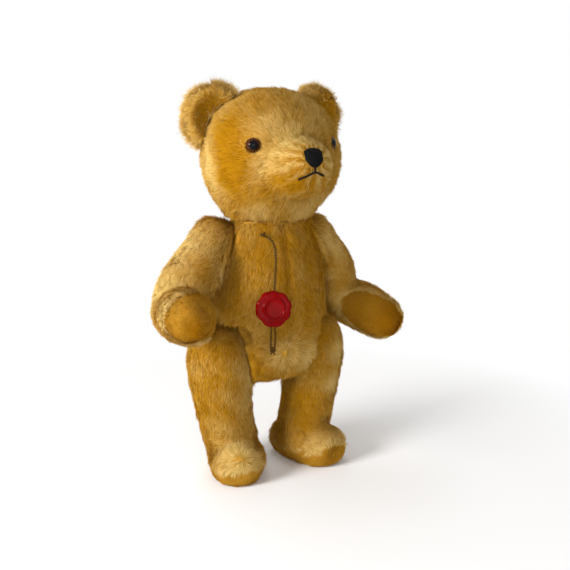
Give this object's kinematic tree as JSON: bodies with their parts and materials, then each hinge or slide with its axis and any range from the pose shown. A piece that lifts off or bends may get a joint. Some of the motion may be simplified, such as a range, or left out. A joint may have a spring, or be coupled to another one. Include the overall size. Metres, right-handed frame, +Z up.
{
  "type": "jointed teddy bear",
  "caption": "Standing plush bear with a disc-jointed head, arms and legs, glass eyes, embroidered nose and a round hang tag on a cord.",
  "frame": {"origin": "on the floor under the middle of the bear's outline", "axes": "+Z up along the standing body, the bear faces -Y, its left side is at +X"},
  "size_m": [0.2651, 0.144, 0.3445],
  "materials": {
    "plush": "long golden pile, soft sheen",
    "stuffing": "pressed wood wool and fibre",
    "paw_felt": "short dense pile",
    "sole_plush": "short dense pile",
    "hardboard": "smooth pressed board",
    "steel": "plain drawn wire and plate",
    "eye_glass": "polished brown glass with a black pupil",
    "black_yarn": "close embroidered stitches",
    "red_plastic": "moulded, glossy",
    "cord": "two-ply twisted brown and gold thread"
  },
  "bodies": {
    "torso": {"cord_stitch": "cord", "left_hip_pin": "steel", "left_hip_torso_disc": "hardboard", "left_hip_torso_washer": "steel", "left_shoulder_pin": "steel", "left_shoulder_torso_disc": "hardboard", "left_shoulder_torso_washer": "steel", "neck_pin": "steel", "neck_torso_disc": "hardboard", "neck_torso_washer": "steel", "right_hip_pin": "steel", "right_hip_torso_disc": "hardboard", "right_hip_torso_washer": "steel", "right_shoulder_pin": "steel", "right_shoulder_torso_disc": "hardboard", "right_shoulder_torso_washer": "steel", "torso_cover": "plush", "torso_stuffing": "stuffing"},
    "head": {"head_cover": "plush", "head_disc": "hardboard", "head_stuffing": "stuffing", "head_washer": "steel", "left_ear": "plush", "left_eye": "eye_glass", "left_eye_stalk": "steel", "mouth_stitches": "black_yarn", "nose": "black_yarn", "right_ear": "plush", "right_eye": "eye_glass", "right_eye_stalk": "steel"},
    "right_arm": {"right_arm_cover": "plush", "right_arm_disc": "hardboard", "right_arm_stuffing": "stuffing", "right_arm_washer": "steel", "right_paw_pad": "paw_felt"},
    "left_arm": {"left_arm_cover": "plush", "left_arm_disc": "hardboard", "left_arm_stuffing": "stuffing", "left_arm_washer": "steel", "left_paw_pad": "paw_felt"},
    "right_leg": {"right_foot_sole": "sole_plush", "right_leg_cover": "plush", "right_leg_disc": "hardboard", "right_leg_stuffing": "stuffing", "right_leg_washer": "steel"},
    "left_leg": {"left_foot_sole": "sole_plush", "left_leg_cover": "plush", "left_leg_disc": "hardboard", "left_leg_stuffing": "stuffing", "left_leg_washer": "steel"},
    "tag": {"cord_knot": "cord", "cord_tails": "cord", "tag_cord": "cord", "tag_seal": "red_plastic"}
  },
  "joints": [
    {"name": "neck_turn", "type": "hinge", "parent": "torso", "child": "head", "pos_m": [-0.0045, 0.024, 0.2335], "axis": [0, 0, 1], "continuous": true},
    {"name": "right_shoulder_turn", "type": "hinge", "parent": "torso", "child": "right_arm", "pos_m": [-0.0435, 0.024, 0.206], "axis": [-0.8815, 0.2528, 0.3987], "range_deg": [-90, 60]},
    {"name": "left_shoulder_turn", "type": "hinge", "parent": "torso", "child": "left_arm", "pos_m": [0.0345, 0.024, 0.203], "axis": [-0.8078, -0.394, -0.4384], "range_deg": [-90, 90]},
    {"name": "right_hip_turn", "type": "hinge", "parent": "torso", "child": "right_leg", "pos_m": [-0.0345, 0.024, 0.117], "axis": [-0.9816, 0, -0.1908], "range_deg": [-25, 80]},
    {"name": "left_hip_turn", "type": "hinge", "parent": "torso", "child": "left_leg", "pos_m": [0.0255, 0.024, 0.117], "axis": [-0.9816, 0, 0.1908], "range_deg": [-25, 80]},
    {"name": "tag_swing", "type": "hinge", "parent": "torso", "child": "tag", "pos_m": [-0.025, -0.01, 0.222], "axis": [-1, 0, 0], "range_deg": [0, 60]}
  ]
}
